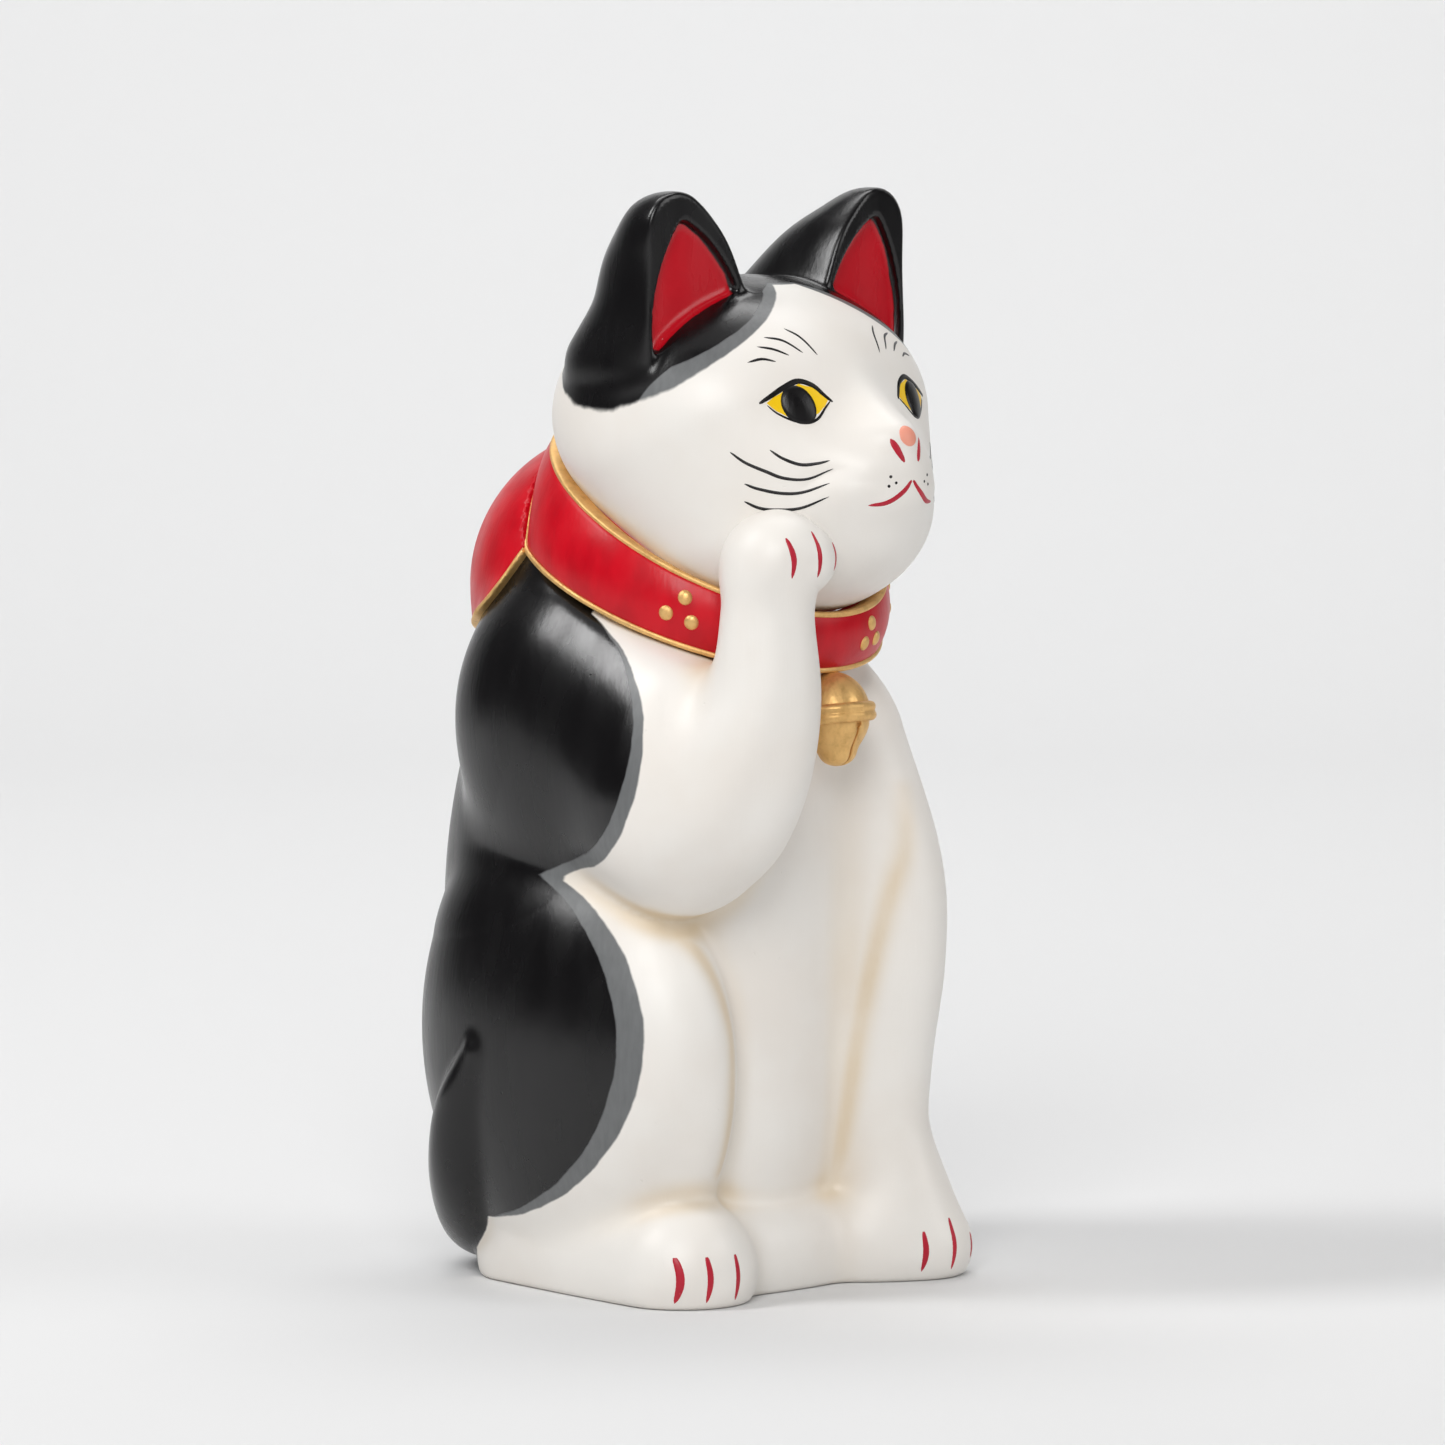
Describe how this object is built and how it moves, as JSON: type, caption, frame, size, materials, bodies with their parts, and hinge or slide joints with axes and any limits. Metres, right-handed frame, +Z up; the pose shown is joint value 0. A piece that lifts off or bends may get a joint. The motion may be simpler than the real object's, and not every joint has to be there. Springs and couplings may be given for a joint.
{
  "type": "beckoning cat figurine",
  "caption": "Seated beckoning cat in painted hollow ceramic, right forepaw raised, with a red collar, a round bell and a back kerchief.",
  "frame": {"origin": "middle of the underside, on the surface the figure stands on", "axes": "+Z up, the cat looks along -Y, +X is toward the cat's own left"},
  "size_m": [0.13, 0.1576, 0.2975],
  "materials": {
    "painted_clay_white": "satin painted white",
    "bare_clay": "unpainted biscuit clay",
    "painted_clay_black": "satin painted black",
    "painted_clay_red": "satin painted red",
    "painted_clay_gold": "brushed gold paint"
  },
  "bodies": {
    "root": {"body_shell": "painted_clay_white", "head_shell": "painted_clay_white", "right_forelimb": "painted_clay_white", "base_disc": "bare_clay", "right_ear": "painted_clay_black", "left_ear": "painted_clay_black", "tail": "painted_clay_black", "collar": "painted_clay_red", "kerchief": "painted_clay_red", "collar_trim_upper": "painted_clay_gold", "collar_trim_lower": "painted_clay_gold", "kerchief_trim": "painted_clay_gold", "collar_dots": "painted_clay_gold", "bell": "painted_clay_gold", "bell_girdle": "painted_clay_gold"}
  },
  "joints": []
}
